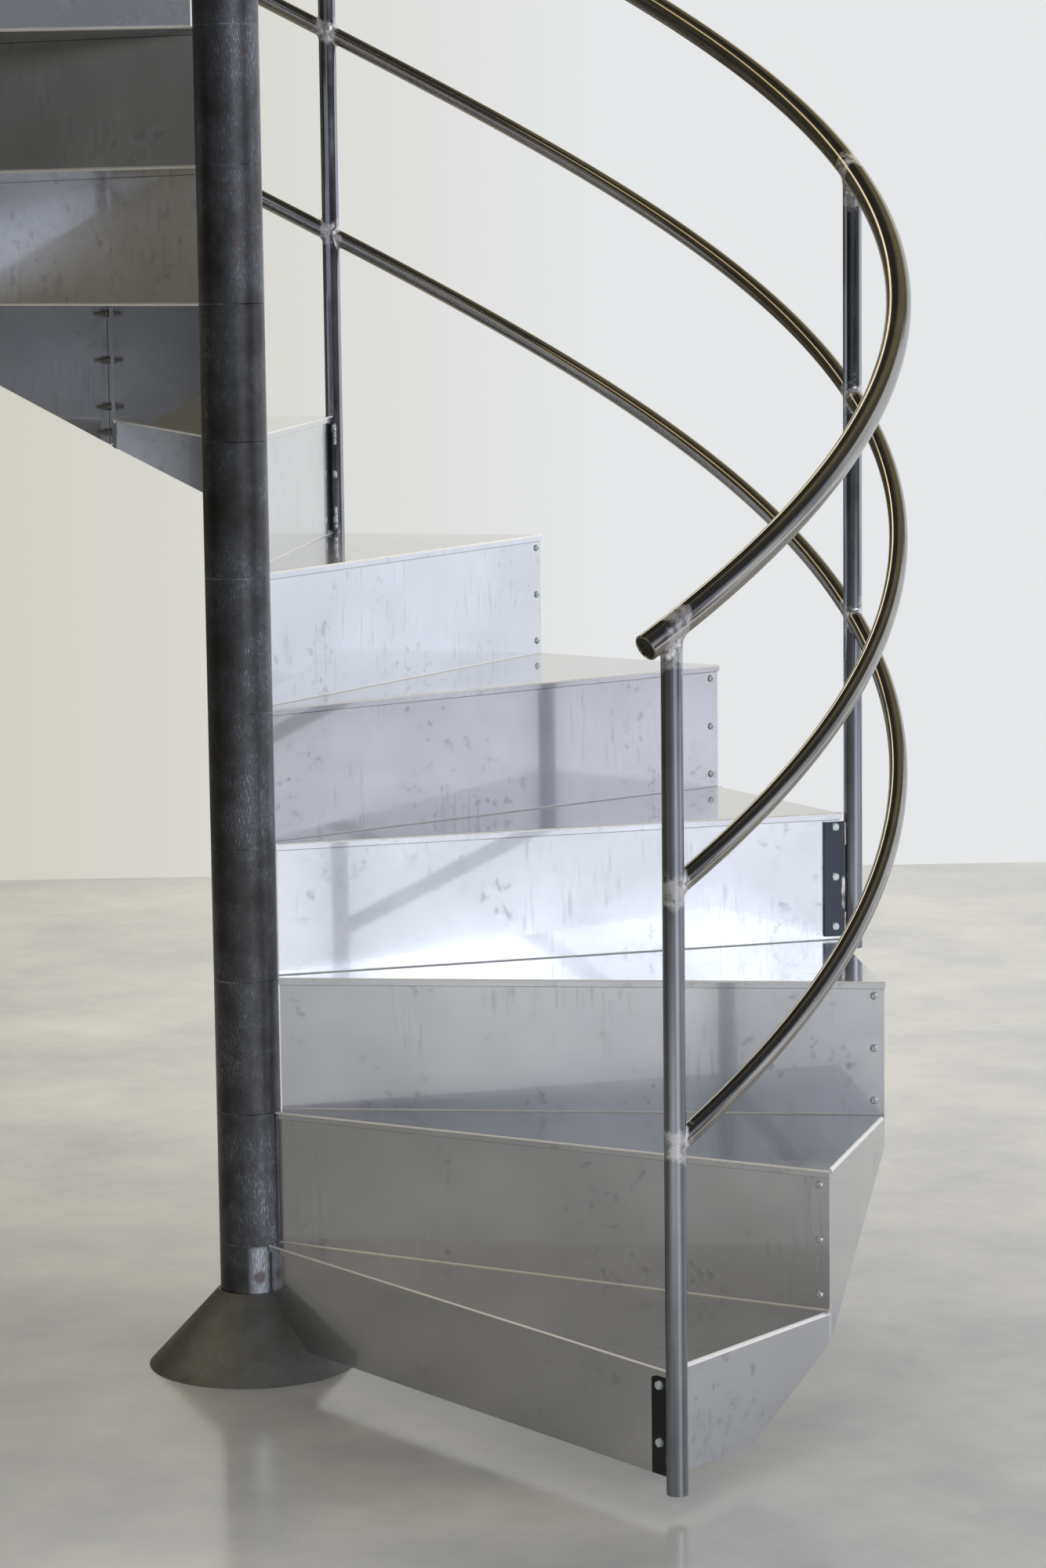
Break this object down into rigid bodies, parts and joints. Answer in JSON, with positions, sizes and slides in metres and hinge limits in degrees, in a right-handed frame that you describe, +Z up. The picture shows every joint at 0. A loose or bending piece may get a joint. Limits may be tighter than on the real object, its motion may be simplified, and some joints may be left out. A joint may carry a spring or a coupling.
{
  "type": "spiral staircase",
  "caption": "Steel spiral staircase: folded sheet treads and risers on a central column of stacked sleeves, with a helical tube handrail and two rails on bolted posts.",
  "frame": {"origin": "centre of the base plate's underside, on the central column's axis at lower floor level", "axes": "+Z up along the column; the lowest riser lies along +X and faces -Y, and the stair climbs anticlockwise as seen from above"},
  "size_m": [1.8296, 1.8296, 3.8969],
  "materials": {
    "step_sheet": "satin raw sheet",
    "column_steel": "dark mill scale",
    "post_steel": "dark mill scale",
    "rail_steel": "dark mill scale",
    "cone_sheet": "dull raw sheet"
  },
  "bodies": {
    "root": {"step_01": "step_sheet", "step_02": "step_sheet", "step_03": "step_sheet", "step_04": "step_sheet", "step_05": "step_sheet", "step_06": "step_sheet", "step_07": "step_sheet", "step_08": "step_sheet", "step_09": "step_sheet", "step_10": "step_sheet", "step_11": "step_sheet", "step_12": "step_sheet", "step_13": "step_sheet", "step_14": "step_sheet", "step_15": "step_sheet", "first_riser": "step_sheet", "sleeve_01": "column_steel", "sleeve_02": "column_steel", "sleeve_03": "column_steel", "sleeve_04": "column_steel", "sleeve_05": "column_steel", "sleeve_06": "column_steel", "sleeve_07": "column_steel", "sleeve_08": "column_steel", "sleeve_09": "column_steel", "sleeve_10": "column_steel", "sleeve_11": "column_steel", "sleeve_12": "column_steel", "sleeve_13": "column_steel", "sleeve_14": "column_steel", "sleeve_15": "column_steel", "sleeve_16": "column_steel", "centre_pole": "column_steel", "pole_cap": "column_steel", "post_1": "post_steel", "post_2": "post_steel", "post_3": "post_steel", "post_4": "post_steel", "post_5": "post_steel", "post_6": "post_steel", "mid_rail": "rail_steel", "lower_rail": "rail_steel", "handrail": "rail_steel", "base_plate": "column_steel", "base_cone": "cone_sheet"}
  },
  "joints": []
}
